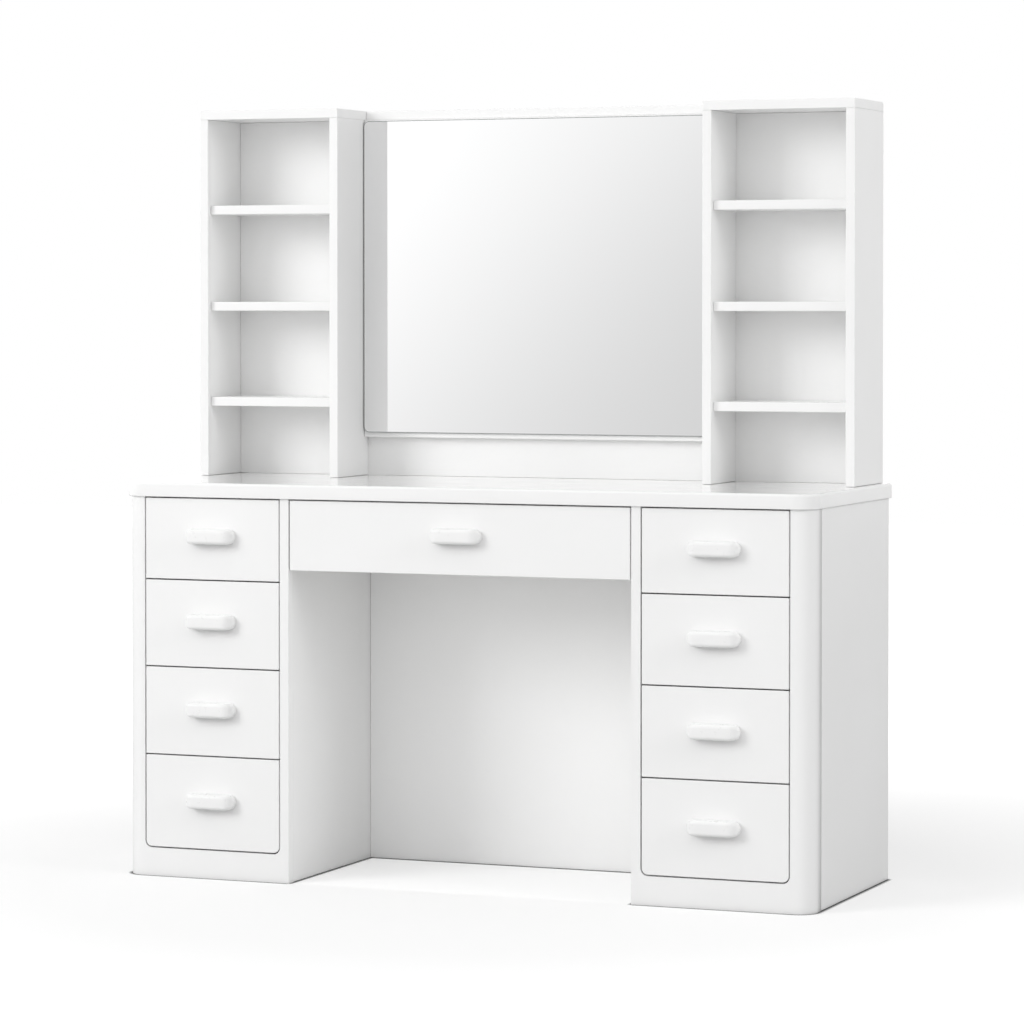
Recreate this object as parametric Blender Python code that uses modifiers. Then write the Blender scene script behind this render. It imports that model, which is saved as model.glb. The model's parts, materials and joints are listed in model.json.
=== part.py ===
"""Salon styling station: a white two-pedestal desk with nine drawers and a mirror hutch.

Frame: metres, +X to the right of someone facing the station, +Y to its rear, +Z up.
The origin is on the floor, under the middle of the whole box that the station fills.
"""

import math

import bmesh
import bpy
from mathutils import Vector

# ---------------------------------------------------------------- driving sizes
CLEARANCE = 0.0003          # between pieces that rest on or against each other
BOARD = 0.018               # standard painted board

CASE_WIDTH = 1.388          # across both pedestals
CASE_DEPTH = 0.482
DESK_HEIGHT = 0.760
DESKTOP_THICKNESS = 0.028
DESKTOP_OVERHANG = 0.006    # past the case at the front and both ends
DESKTOP_TOP_ROUND = 0.005
CORNER_RADIUS = 0.036       # outer front corners of the case

OUTER_STILE = 0.041
INNER_STILE = BOARD
OPENING_WIDTH = 0.288       # drawer opening of a pedestal
FRAME_THICKNESS = 0.020
POST_DEPTH = 0.058          # the corner post turns this far back round the side
OPENING_LEVELS = (0.054, 0.235, 0.405, 0.573)   # lower edge of each drawer, bottom one first
OPENING_FILLET = 0.0145     # lower corners of the drawer opening

FRONT_GAP = 0.0025          # reveal round a drawer front
FRONT_FILLET = OPENING_FILLET - FRONT_GAP
CENTRE_DRAWER_LEVEL = 0.5965
KNEEHOLE_PANEL_SETBACK = 0.380
REAR_PANEL = 0.005
REAR_PANEL_INSET = 0.003
REAR_PANEL_LIFT = 0.004     # clear of an uneven floor
BASE_PANEL = 0.015
BASE_PANEL_LEVEL = 0.036

BOX_WALL = 0.012
BOX_FLOOR = 0.006
BOX_LENGTH = 0.400
CENTRE_BOX_LENGTH = 0.325
BOX_SIDE_CLEARANCE = 0.0132
BOX_RISE = 0.018            # box floor above the lower edge of its front
BOX_DROP = 0.030            # box rim below the upper edge of its front
CENTRE_BOX_RISE = 0.022

CHANNEL_HEIGHT = 0.036      # slide channel fixed to the case
CHANNEL_DEPTH = 0.0105
CHANNEL_WALL = 0.0015
CHANNEL_START = 0.024       # behind the front of the case
CHANNEL_LENGTH = 0.400
CENTRE_CHANNEL_LENGTH = 0.330
CENTRE_BAR_DEPTH = 0.010    # cross-bar that joins the two centre channels
CHANNEL_ABOVE_BOX_FLOOR = 0.034
STRAP = 0.0015
UPRIGHT_WIDTH = 0.030
FRONT_UPRIGHT = 0.0595      # behind the front of the case
REAR_UPRIGHT = 0.390

HANDLE_LENGTH = 0.102
HANDLE_HEIGHT = 0.028
HANDLE_REACH = 0.026
HANDLE_PLAN_RADIUS = 0.021
HANDLE_EDGE_RADIUS = 0.006
HANDLE_WALL = 0.007
HANDLE_RISE = 0.005         # above the middle of the drawer front

HUTCH_TOP = 1.488
TOWER_INSET = 0.012         # from the side of the case
TOWER_WIDTH = 0.302
TOWER_SETBACK = 0.297       # tower front behind the front of the case
TOWER_TOP_ROUND = 0.008     # rear upper edge of each tower
HUTCH_BACK_SETBACK = 0.444
HUTCH_BACK = 0.009
SHELF_SETBACK = 0.012
SHELF_LEVELS = (0.917, 1.107, 1.299)            # upper faces
RAIL_SETBACK = 0.434
MIRROR_BOARD_LOW = 0.8368
MIRROR_BOARD = 0.0195
MIRROR_LOW = 0.8464
MIRROR_THICKNESS = 0.005
MIRROR_RADIUS = 0.011
MIRROR_SIDE_GAP = 0.0015
MIRROR_TOP_GAP = 0.0025

EDGE = 0.0015               # eased edge of a painted board
FINE_EDGE = 0.0012          # desktop underside, front frames and mirror glass
THIN_EDGE = 0.0008          # rear panels
BASE_EDGE = 0.001
MIRROR_BOARD_EDGE = 0.002

ARC_SEGMENTS = 8            # of a large corner
FILLET_SEGMENTS = 6         # of the rounded corners at the bottom drawers
TOP_ROUND_SEGMENTS = 4
HANDLE_PLAN_SEGMENTS = 5
HANDLE_EDGE_SEGMENTS = 3
SHARP_ANGLE = math.radians(40)
ALONG_AXIS = 0.99           # a unit direction's component along the axis that it follows
ACROSS_AXIS = 0.01          # and along an axis that it stands square to
CUT_MARGIN = 0.02           # how far a cutter runs out past the faces it cuts

# ---------------------------------------------------------------- worked out from them
FRONT_Y = -(CASE_DEPTH - HANDLE_REACH) / 2
REAR_Y = FRONT_Y + CASE_DEPTH
HALF_CASE = CASE_WIDTH / 2
PEDESTAL_WIDTH = OUTER_STILE + OPENING_WIDTH + INNER_STILE
HALF_KNEEHOLE = HALF_CASE - PEDESTAL_WIDTH
DESK_UNDERSIDE = DESK_HEIGHT - DESKTOP_THICKNESS
CASE_TOP = DESK_UNDERSIDE - CLEARANCE
TOWER_OUTER = HALF_CASE - TOWER_INSET
TOWER_INNER = TOWER_OUTER - TOWER_WIDTH
TOWER_SIDE_TOP = HUTCH_TOP - BOARD - CLEARANCE
HUTCH_FLOOR = DESK_HEIGHT + CLEARANCE

SIDES = {"left": -1, "right": 1}


def clear_scene():
    """Remove whatever the scene already holds."""
    for item in list(bpy.data.objects):
        bpy.data.objects.remove(item, do_unlink=True)


clear_scene()
PARTS = bpy.data.collections.new("salon_styling_station")
CUTTERS = bpy.data.collections.new("cutters")
bpy.context.scene.collection.children.link(PARTS)
bpy.context.scene.collection.children.link(CUTTERS)


# ---------------------------------------------------------------- materials
def painted(name, colour, roughness, metallic=0.0):
    """A plain Principled material."""
    material = bpy.data.materials.new(name)
    material.use_nodes = True
    shader = material.node_tree.nodes["Principled BSDF"]
    shader.inputs["Base Color"].default_value = (*colour, 1.0)
    shader.inputs["Roughness"].default_value = roughness
    shader.inputs["Metallic"].default_value = metallic
    material.diffuse_color = (*colour, 1.0)
    return material


WHITE = (0.90, 0.90, 0.89)
LOOKS = {
    "white_lacquer": (WHITE, 0.30, 0.0),
    "gloss_top": (WHITE, 0.12, 0.0),
    "white_handle": ((0.93, 0.93, 0.92), 0.35, 0.0),
    "drawer_lining": ((0.80, 0.79, 0.76), 0.55, 0.0),
    "zinc_steel": ((0.62, 0.63, 0.65), 0.35, 1.0),
    "mirror": ((0.92, 0.93, 0.94), 0.02, 1.0),
}


def finish(item, look):
    """Give an object its own material in one of the station's looks."""
    colour, roughness, metallic = LOOKS[look]
    item.data.materials.append(painted(item.name + "_" + look, colour, roughness, metallic))


# ---------------------------------------------------------------- modelling helpers
def mesh_object(name, mesh_data, centre, collection=PARTS):
    """Turn a bmesh into an object placed at its centre."""
    mesh = bpy.data.meshes.new(name)
    bmesh.ops.recalc_face_normals(mesh_data, faces=mesh_data.faces)
    mesh_data.to_mesh(mesh)
    mesh_data.free()
    mesh.shade_smooth()
    mesh.set_sharp_from_angle(angle=SHARP_ANGLE)
    item = bpy.data.objects.new(name, mesh)
    item.location = centre
    collection.objects.link(item)
    return item


def block_mesh(low, high):
    """A box as a bmesh about its own centre, with that centre."""
    size = [high[axis] - low[axis] for axis in range(3)]
    centre = Vector([(high[axis] + low[axis]) / 2 for axis in range(3)])
    mesh_data = bmesh.new()
    bmesh.ops.create_cube(mesh_data, size=1.0)
    bmesh.ops.scale(mesh_data, vec=size, verts=mesh_data.verts)
    return mesh_data, centre


def round_edges(mesh_data, chosen, radius, segments):
    """Round the edges for which chosen(middle, direction) is true."""
    edges = []
    for edge in mesh_data.edges:
        first, second = (vert.co for vert in edge.verts)
        if chosen((first + second) / 2, (second - first).normalized()):
            edges.append(edge)
    bmesh.ops.bevel(
        mesh_data, geom=edges, offset=radius, segments=segments, profile=0.5, affect="EDGES"
    )


def ease(item, width=EDGE, segments=2):
    """Ease the sharp edges of a piece."""
    bevel = item.modifiers.new("eased_edges", "BEVEL")
    bevel.width = width
    bevel.segments = segments
    bevel.limit_method = "ANGLE"
    bevel.angle_limit = SHARP_ANGLE
    return item


def board(name, low, high, look="white_lacquer", edge=EDGE, segments=2):
    """A flat board with eased edges between two opposite corners."""
    mesh_data, centre = block_mesh(low, high)
    item = mesh_object(name, mesh_data, centre)
    finish(item, look)
    if edge:
        ease(item, edge, segments)
    return item


def cutter(name, mesh_data, centre):
    """A guide solid that only cuts or joins, and is never part of the station."""
    item = mesh_object(name, mesh_data, centre, CUTTERS)
    item.hide_render = True
    item.display_type = "WIRE"
    return item


def apply_boolean(item, tool, operation):
    """Cut a tool away from a piece, or join it on."""
    boolean = item.modifiers.new(tool.name, "BOOLEAN")
    boolean.operation = operation
    boolean.solver = "EXACT"
    boolean.object = tool


def mirrored(side, first, second):
    """The low and high X of a span given as distances from the middle, on one side."""
    ends = (SIDES[side] * first, SIDES[side] * second)
    return min(ends), max(ends)


def side_box(side, near, far, front, back, low, high):
    """Corners of a box on one side: near and far from the middle, front and back from the case front."""
    left, right = mirrored(side, near, far)
    return (left, FRONT_Y + front, low), (right, FRONT_Y + back, high)


def is_vertical(direction):
    return abs(direction.z) > ALONG_AXIS


def is_level(direction):
    return abs(direction.z) < ACROSS_AXIS


def is_crosswise(direction):
    return abs(direction.y) > ALONG_AXIS


# ---------------------------------------------------------------- desk
def make_desktop():
    half = HALF_CASE + DESKTOP_OVERHANG
    mesh_data, centre = block_mesh(
        (-half, FRONT_Y - DESKTOP_OVERHANG, DESK_UNDERSIDE), (half, REAR_Y, DESK_HEIGHT)
    )
    round_edges(
        mesh_data, lambda middle, way: is_vertical(way) and middle.y < 0,
        CORNER_RADIUS + DESKTOP_OVERHANG, ARC_SEGMENTS,
    )
    round_edges(
        mesh_data, lambda middle, way: middle.z > 0 and is_level(way),
        DESKTOP_TOP_ROUND, TOP_ROUND_SEGMENTS,
    )
    item = mesh_object("desktop", mesh_data, centre)
    finish(item, "gloss_top")
    return ease(item, FINE_EDGE, 1)


def make_front_frame(side):
    """Corner post, inner stile and bottom rail in one piece, open at the top."""
    low, high = side_box(side, HALF_KNEEHOLE, HALF_CASE, 0.0, POST_DEPTH, 0.0, CASE_TOP)
    mesh_data, centre = block_mesh(low, high)
    round_edges(
        mesh_data,
        lambda middle, way: is_vertical(way) and middle.y < 0 and middle.x * SIDES[side] > 0,
        CORNER_RADIUS, ARC_SEGMENTS,
    )
    frame = mesh_object(side + "_front_frame", mesh_data, centre)
    finish(frame, "white_lacquer")

    opening_far = HALF_CASE - OUTER_STILE
    opening_near = opening_far - OPENING_WIDTH
    low, high = side_box(
        side, opening_near, opening_far, -CUT_MARGIN, POST_DEPTH + CUT_MARGIN,
        OPENING_LEVELS[0], CASE_TOP + CUT_MARGIN,
    )
    mesh_data, centre = block_mesh(low, high)
    round_edges(
        mesh_data, lambda middle, way: is_crosswise(way) and middle.z < 0,
        OPENING_FILLET, FILLET_SEGMENTS,
    )
    apply_boolean(frame, cutter(side + "_opening_cutter", mesh_data, centre), "DIFFERENCE")

    low, high = side_box(
        side, HALF_KNEEHOLE - CUT_MARGIN, opening_far, FRAME_THICKNESS,
        POST_DEPTH + CUT_MARGIN, -CUT_MARGIN, CASE_TOP + CUT_MARGIN,
    )
    mesh_data, centre = block_mesh(low, high)
    apply_boolean(frame, cutter(side + "_recess_cutter", mesh_data, centre), "DIFFERENCE")
    return ease(frame, FINE_EDGE)


def make_pedestal(side):
    make_front_frame(side)
    outer_face = HALF_CASE - BOARD
    inner_face = HALF_KNEEHOLE + BOARD
    board(side + "_outer_side", *side_box(
        side, outer_face, HALF_CASE, POST_DEPTH + CLEARANCE, CASE_DEPTH, 0.0, CASE_TOP))
    board(side + "_inner_side", *side_box(
        side, HALF_KNEEHOLE, inner_face, FRAME_THICKNESS + CLEARANCE, CASE_DEPTH, 0.0, CASE_TOP))
    near = inner_face + CLEARANCE
    far = outer_face - CLEARANCE
    back = CASE_DEPTH - REAR_PANEL_INSET - REAR_PANEL
    make_base_panel(side, near, far, back - CLEARANCE)
    board(side + "_back_panel", *side_box(
        side, near, far, back, back + REAR_PANEL, REAR_PANEL_LIFT, CASE_TOP),
        edge=THIN_EDGE, segments=1)


def make_base_panel(side, near, far, back):
    """The pedestal's floor, notched where the corner post stands."""
    panel = board(side + "_base_panel", *side_box(
        side, near, far, FRAME_THICKNESS + CLEARANCE, back,
        BASE_PANEL_LEVEL, BASE_PANEL_LEVEL + BASE_PANEL), edge=None)
    post_inside = HALF_CASE - OUTER_STILE - CLEARANCE
    low, high = side_box(
        side, post_inside, HALF_CASE, 0.0, POST_DEPTH + CLEARANCE,
        BASE_PANEL_LEVEL - CUT_MARGIN, BASE_PANEL_LEVEL + BASE_PANEL + CUT_MARGIN,
    )
    mesh_data, centre = block_mesh(low, high)
    apply_boolean(panel, cutter(side + "_post_notch", mesh_data, centre), "DIFFERENCE")
    ease(panel, BASE_EDGE, 1)


def make_kneehole_panel():
    half = HALF_KNEEHOLE - CLEARANCE
    front = FRONT_Y + KNEEHOLE_PANEL_SETBACK
    board("kneehole_back_panel", (-half, front, 0.0), (half, front + BOARD, CASE_TOP))


# ---------------------------------------------------------------- hutch
def make_tower(side):
    front = TOWER_SETBACK
    back = HUTCH_BACK_SETBACK - CLEARANCE
    board(side + "_tower_outer_side", *side_box(
        side, TOWER_OUTER - BOARD, TOWER_OUTER, front, CASE_DEPTH, HUTCH_FLOOR, TOWER_SIDE_TOP))
    board(side + "_tower_inner_side", *side_box(
        side, TOWER_INNER, TOWER_INNER + BOARD, front, back, HUTCH_FLOOR, TOWER_SIDE_TOP))
    make_tower_top(side)
    near = TOWER_INNER + BOARD + CLEARANCE
    far = TOWER_OUTER - BOARD - CLEARANCE
    for number, level in enumerate(SHELF_LEVELS, start=1):
        board(side + "_tower_shelf_" + str(number), *side_box(
            side, near, far, front + SHELF_SETBACK, back, level - BOARD, level))


def make_tower_top(side):
    """The board over a tower, with its rear upper edge rounded."""
    mesh_data, centre = block_mesh(*side_box(
        side, TOWER_INNER, TOWER_OUTER, TOWER_SETBACK, CASE_DEPTH, HUTCH_TOP - BOARD, HUTCH_TOP))
    round_edges(
        mesh_data, lambda middle, way: middle.y > 0 and middle.z > 0,
        TOWER_TOP_ROUND, TOP_ROUND_SEGMENTS,
    )
    item = mesh_object(side + "_tower_top", mesh_data, centre)
    finish(item, "white_lacquer")
    ease(item)


def make_mirror_bay():
    half_back = TOWER_OUTER - BOARD - CLEARANCE
    back = FRONT_Y + HUTCH_BACK_SETBACK
    board("hutch_back_panel", (-half_back, back, HUTCH_FLOOR),
          (half_back, back + HUTCH_BACK, TOWER_SIDE_TOP), edge=THIN_EDGE, segments=1)

    half_bay = TOWER_INNER - CLEARANCE
    board("mirror_bay_top", (-half_bay, FRONT_Y + RAIL_SETBACK, HUTCH_TOP - BOARD),
          (half_bay, REAR_Y, HUTCH_TOP))

    board_back = back - CLEARANCE
    board_front = board_back - MIRROR_BOARD
    board("mirror_board", (-half_bay, board_front, MIRROR_BOARD_LOW),
          (half_bay, board_back, TOWER_SIDE_TOP), edge=MIRROR_BOARD_EDGE)

    half_glass = half_bay - MIRROR_SIDE_GAP
    glass_back = board_front - CLEARANCE
    mesh_data, centre = block_mesh(
        (-half_glass, glass_back - MIRROR_THICKNESS, MIRROR_LOW),
        (half_glass, glass_back, TOWER_SIDE_TOP - MIRROR_TOP_GAP),
    )
    round_edges(mesh_data, lambda middle, way: is_crosswise(way), MIRROR_RADIUS, ARC_SEGMENTS)
    glass = mesh_object("mirror_glass", mesh_data, centre)
    finish(glass, "mirror")
    ease(glass, FINE_EDGE, 1)


# ---------------------------------------------------------------- drawers
class Opening:
    """The space that one drawer fills: its name, its X middle, its width and its Z span."""

    def __init__(self, name, middle, width, low, high, box_length, rise):
        self.name = name
        self.middle = middle
        self.width = width
        self.low = low
        self.high = high
        self.box_length = box_length
        self.rise = rise

    @property
    def box_floor(self):
        return self.low + self.rise

    @property
    def channel_middle(self):
        return self.box_floor + CHANNEL_ABOVE_BOX_FLOOR


def pedestal_openings(side):
    """Openings of one pedestal, numbered from the top."""
    middle = SIDES[side] * (HALF_CASE - OUTER_STILE - OPENING_WIDTH / 2)
    tops = OPENING_LEVELS[1:] + (DESK_UNDERSIDE,)
    count = len(OPENING_LEVELS)
    found = []
    for index, (low, high) in enumerate(zip(OPENING_LEVELS, tops)):
        name = side + "_drawer_" + str(count - index)
        found.append(Opening(name, middle, OPENING_WIDTH, low, high, BOX_LENGTH, BOX_RISE))
    return found


CENTRE_OPENING = Opening(
    "centre_drawer", 0.0, 2 * HALF_KNEEHOLE, CENTRE_DRAWER_LEVEL, DESK_UNDERSIDE,
    CENTRE_BOX_LENGTH, CENTRE_BOX_RISE,
)


def hang_on(item, pivot):
    """Parent a piece to its drawer's pivot without moving it."""
    item.location = Vector(item.location) - Vector(pivot.location)
    item.parent = pivot


def make_front(opening):
    half = opening.width / 2 - FRONT_GAP
    is_bottom = opening.low == OPENING_LEVELS[0]
    low_gap = 0.0 if opening is CENTRE_OPENING else FRONT_GAP / 2
    if is_bottom:
        low_gap = FRONT_GAP
    high_gap = FRONT_GAP if opening.high == DESK_UNDERSIDE else FRONT_GAP / 2
    mesh_data, centre = block_mesh(
        (opening.middle - half, FRONT_Y, opening.low + low_gap),
        (opening.middle + half, FRONT_Y + BOARD, opening.high - high_gap),
    )
    if is_bottom:
        round_edges(
            mesh_data, lambda middle, way: is_crosswise(way) and middle.z < 0,
            FRONT_FILLET, FILLET_SEGMENTS,
        )
    front = mesh_object(opening.name + "_front", mesh_data, centre)
    finish(front, "white_lacquer")
    return ease(front)


def make_box(opening):
    """An open tray: four walls and a floor."""
    half = opening.width / 2 - BOX_SIDE_CLEARANCE
    front = FRONT_Y + BOARD + CLEARANCE
    back = front + opening.box_length
    floor = opening.box_floor
    rim = opening.high - BOX_DROP
    mesh_data, centre = block_mesh(
        (opening.middle - half, front, floor), (opening.middle + half, back, rim)
    )
    box = mesh_object(opening.name + "_box", mesh_data, centre)
    finish(box, "drawer_lining")
    mesh_data, centre = block_mesh(
        (opening.middle - half + BOX_WALL, front + BOX_WALL, floor + BOX_FLOOR),
        (opening.middle + half - BOX_WALL, back - BOX_WALL, rim + CUT_MARGIN),
    )
    apply_boolean(box, cutter(opening.name + "_tray_cutter", mesh_data, centre), "DIFFERENCE")
    return box


def make_handle(opening):
    """A rounded tab with a finger scoop that opens downwards."""
    middle_z = (opening.low + opening.high) / 2 + HANDLE_RISE
    mesh_data, _ = block_mesh(
        (-HANDLE_LENGTH / 2, -HANDLE_REACH, -HANDLE_HEIGHT / 2),
        (HANDLE_LENGTH / 2, HANDLE_REACH, HANDLE_HEIGHT / 2),
    )
    round_edges(
        mesh_data, lambda middle, way: is_vertical(way), HANDLE_PLAN_RADIUS, HANDLE_PLAN_SEGMENTS
    )
    round_edges(
        mesh_data, lambda middle, way: is_level(way), HANDLE_EDGE_RADIUS, HANDLE_EDGE_SEGMENTS
    )
    everything = list(mesh_data.verts) + list(mesh_data.edges) + list(mesh_data.faces)
    cut = bmesh.ops.bisect_plane(
        mesh_data, geom=everything, plane_co=(0, -CLEARANCE, 0), plane_no=(0, 1, 0),
        clear_outer=True,
    )
    rim = [piece for piece in cut["geom_cut"] if isinstance(piece, bmesh.types.BMEdge)]
    bmesh.ops.contextual_create(mesh_data, geom=rim)
    place = Vector((opening.middle, FRONT_Y, middle_z))
    handle = mesh_object(opening.name + "_handle", mesh_data, place)
    finish(handle, "white_handle")

    half_scoop = HANDLE_LENGTH / 2 - 2 * HANDLE_WALL
    mesh_data, centre = block_mesh(
        (-half_scoop, -HANDLE_REACH + HANDLE_WALL, -HANDLE_HEIGHT),
        (half_scoop, HANDLE_REACH, HANDLE_HEIGHT / 2 - HANDLE_WALL),
    )
    apply_boolean(
        handle, cutter(opening.name + "_scoop_cutter", mesh_data, place + centre), "DIFFERENCE"
    )
    return handle


def make_drawer(opening):
    """Front, box and handle on one pivot that lies on the drawer's slide line."""
    pivot = bpy.data.objects.new(opening.name, None)
    pivot.location = (opening.middle, FRONT_Y + BOARD, opening.channel_middle)
    PARTS.objects.link(pivot)
    for piece in (make_front(opening), make_box(opening), make_handle(opening)):
        hang_on(piece, pivot)


# ---------------------------------------------------------------- slide channels on the case
def channel_mesh(face, inward, front, length, middle_z):
    """A C-shaped channel whose web lies on the plane X = face and which opens inward."""
    low = (min(face, face + inward * CHANNEL_DEPTH), front, middle_z - CHANNEL_HEIGHT / 2)
    high = (max(face, face + inward * CHANNEL_DEPTH), front + length, middle_z + CHANNEL_HEIGHT / 2)
    return block_mesh(low, high)


def slot_mesh(face, inward, front, length, middle_z):
    """What is cut out of a channel to leave its web and two flanges."""
    near = face + inward * CHANNEL_WALL
    far = face + inward * (CHANNEL_DEPTH + CHANNEL_WALL)
    half = CHANNEL_HEIGHT / 2 - CHANNEL_WALL
    return block_mesh(
        (min(near, far), front - CHANNEL_WALL, middle_z - half),
        (max(near, far), front + length + CHANNEL_WALL, middle_z + half),
    )


def make_runners(name, face, backing, inward, openings):
    """Four channels on two uprights that fill the space back to the side panel."""
    low_z = BASE_PANEL_LEVEL + BASE_PANEL + CLEARANCE
    overlap = CHANNEL_WALL / 2
    ends = (backing, face + inward * overlap)
    frame = None
    for start in (FRONT_UPRIGHT, REAR_UPRIGHT):
        front = FRONT_Y + start
        mesh_data, centre = block_mesh(
            (min(ends), front, low_z), (max(ends), front + UPRIGHT_WIDTH, CASE_TOP)
        )
        if frame is None:
            frame = mesh_object(name, mesh_data, centre)
            finish(frame, "zinc_steel")
        else:
            apply_boolean(frame, cutter(name + "_rear_upright", mesh_data, centre), "UNION")
    front = FRONT_Y + CHANNEL_START
    for opening in openings:
        mesh_data, centre = channel_mesh(
            face, inward, front, CHANNEL_LENGTH, opening.channel_middle)
        apply_boolean(frame, cutter(opening.name + name + "_bar", mesh_data, centre), "UNION")
    for opening in openings:
        mesh_data, centre = slot_mesh(
            face, inward, front, CHANNEL_LENGTH, opening.channel_middle)
        apply_boolean(
            frame, cutter(opening.name + name + "_slot", mesh_data, centre), "DIFFERENCE")


def make_pedestal_runners(side):
    """The outer set stands on deep uprights, the inner set on thin straps."""
    toward_middle = -SIDES[side]
    openings = pedestal_openings(side)
    outer_face = SIDES[side] * (HALF_CASE - OUTER_STILE - CLEARANCE)
    outer_backing = SIDES[side] * (HALF_CASE - BOARD - CLEARANCE)
    make_runners(side + "_outer_runners", outer_face, outer_backing, toward_middle, openings)
    inner_panel = HALF_KNEEHOLE + BOARD + CLEARANCE
    inner_face = SIDES[side] * (inner_panel + STRAP)
    make_runners(
        side + "_inner_runners", inner_face, SIDES[side] * inner_panel, -toward_middle, openings)


def make_centre_runners():
    """Two channels joined behind the drawer by a cross-bar."""
    opening = CENTRE_OPENING
    front = FRONT_Y + CHANNEL_START
    reach = HALF_KNEEHOLE - CLEARANCE
    bar_front = front + CENTRE_CHANNEL_LENGTH - CHANNEL_WALL
    low_z = opening.channel_middle - CHANNEL_HEIGHT / 2
    mesh_data, centre = block_mesh(
        (-reach, bar_front, low_z), (reach, bar_front + CENTRE_BAR_DEPTH, low_z + CHANNEL_HEIGHT)
    )
    frame = mesh_object("centre_runner_frame", mesh_data, centre)
    finish(frame, "zinc_steel")
    for side, sign in SIDES.items():
        mesh_data, centre = channel_mesh(
            sign * reach, -sign, front, CENTRE_CHANNEL_LENGTH, opening.channel_middle)
        apply_boolean(frame, cutter(side + "_centre_bar", mesh_data, centre), "UNION")
    for side, sign in SIDES.items():
        mesh_data, centre = slot_mesh(
            sign * reach, -sign, front, CENTRE_CHANNEL_LENGTH - 2 * CHANNEL_WALL,
            opening.channel_middle)
        apply_boolean(frame, cutter(side + "_centre_slot", mesh_data, centre), "DIFFERENCE")


# ---------------------------------------------------------------- assembly
def main():
    make_desktop()
    make_kneehole_panel()
    make_mirror_bay()
    for side in SIDES:
        make_pedestal(side)
        make_tower(side)
        make_pedestal_runners(side)
        for opening in pedestal_openings(side):
            make_drawer(opening)
    make_centre_runners()
    make_drawer(CENTRE_OPENING)


main()
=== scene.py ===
"""Finishes, fine pieces, studio and camera of the salon styling station.

Frame: metres, +X to the right of someone facing the station, +Y to its rear, +Z up.
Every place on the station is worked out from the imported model's own nodes.
"""

import json
import math

import bmesh
import bpy
from mathutils import Matrix, Vector

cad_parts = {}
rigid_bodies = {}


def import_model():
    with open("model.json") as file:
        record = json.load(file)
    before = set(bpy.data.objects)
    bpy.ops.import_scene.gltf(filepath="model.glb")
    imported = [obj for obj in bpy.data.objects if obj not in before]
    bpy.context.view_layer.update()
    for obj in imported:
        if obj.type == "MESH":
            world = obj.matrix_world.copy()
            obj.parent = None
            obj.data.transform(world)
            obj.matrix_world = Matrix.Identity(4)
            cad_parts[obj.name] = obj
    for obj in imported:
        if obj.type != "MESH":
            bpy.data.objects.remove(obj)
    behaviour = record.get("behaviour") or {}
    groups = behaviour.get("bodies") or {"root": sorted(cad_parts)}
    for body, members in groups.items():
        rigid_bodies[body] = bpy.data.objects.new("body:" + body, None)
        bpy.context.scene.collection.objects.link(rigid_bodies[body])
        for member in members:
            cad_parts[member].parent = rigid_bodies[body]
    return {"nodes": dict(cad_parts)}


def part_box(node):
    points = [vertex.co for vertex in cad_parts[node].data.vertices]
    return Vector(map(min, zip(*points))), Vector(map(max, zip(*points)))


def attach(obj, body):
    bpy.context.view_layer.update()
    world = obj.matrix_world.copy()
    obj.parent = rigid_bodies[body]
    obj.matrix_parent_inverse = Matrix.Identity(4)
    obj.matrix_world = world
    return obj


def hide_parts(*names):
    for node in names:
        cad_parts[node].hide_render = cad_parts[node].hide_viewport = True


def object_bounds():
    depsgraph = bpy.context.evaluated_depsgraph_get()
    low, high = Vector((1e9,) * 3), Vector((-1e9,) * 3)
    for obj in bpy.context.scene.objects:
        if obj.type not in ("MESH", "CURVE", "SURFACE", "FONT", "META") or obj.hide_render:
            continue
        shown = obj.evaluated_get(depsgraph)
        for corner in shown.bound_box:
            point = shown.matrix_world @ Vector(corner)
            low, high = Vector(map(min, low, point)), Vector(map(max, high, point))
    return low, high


for leftover in list(bpy.data.objects):
    bpy.data.objects.remove(leftover, do_unlink=True)

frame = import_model()
CAD_LOW, CAD_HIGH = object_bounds()

# ---------------------------------------------------------------- sizes of the fine pieces
GAP = 0.0003                # left between pieces that touch
EDGE = 0.0015               # eased edge of a lacquered board
THIN_EDGE = 0.0008          # rear panels and drawer boards
FRAME_EDGE = 0.0012         # front frames of the pedestals
MIRROR_BOARD_EDGE = 0.002
SEAM_EDGE = 0.0002          # where two boards meet in one plane
EASE_STEPS = 3
SMALL_EASE_STEPS = 2        # of the finest edges
SHARP = math.radians(40)
ALONG = 0.99                # a unit direction's part along the axis that it follows
ACROSS = 0.01               # and along an axis that it stands square to
FACING = 0.999              # a unit normal's part along the axis that its face looks down
WELD = 0.000001             # points nearer than this are one
CUT_MARGIN = 0.02           # how far a cutting shape runs past what it cuts

CORNER_RADIUS = 0.036
DESKTOP_CORNER = 0.042
DESKTOP_ROUND = 0.005
DESKTOP_ROUND_STEPS = 6
CORNER_STEPS = 24
FILLET_STEPS = 12
FRAME_THICKNESS = 0.020
FRONT_GAP = 0.0025
OPENING_FILLET = 0.0145
TOWER_TOP_ROUND = 0.008

HANDLE_PLAN_RADIUS = 0.021
HANDLE_PLAN_STEPS = 12
HANDLE_EDGE_RADIUS = 0.0065
HANDLE_EDGE_STEPS = 7
HANDLE_END_RADIUS = 0.0125  # of its four corners seen from the front
HANDLE_END_STEPS = 9
HANDLE_SHELL = 0.0045
HANDLE_LIP = 0.0009
HANDLE_LIP_ANGLE = math.radians(60)
POST_SPACING = 0.064        # between the two screws of a handle
POST_RADIUS = 0.0042
POST_ROOT_RADIUS = 0.0050   # where a post stands on the drawer front

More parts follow.
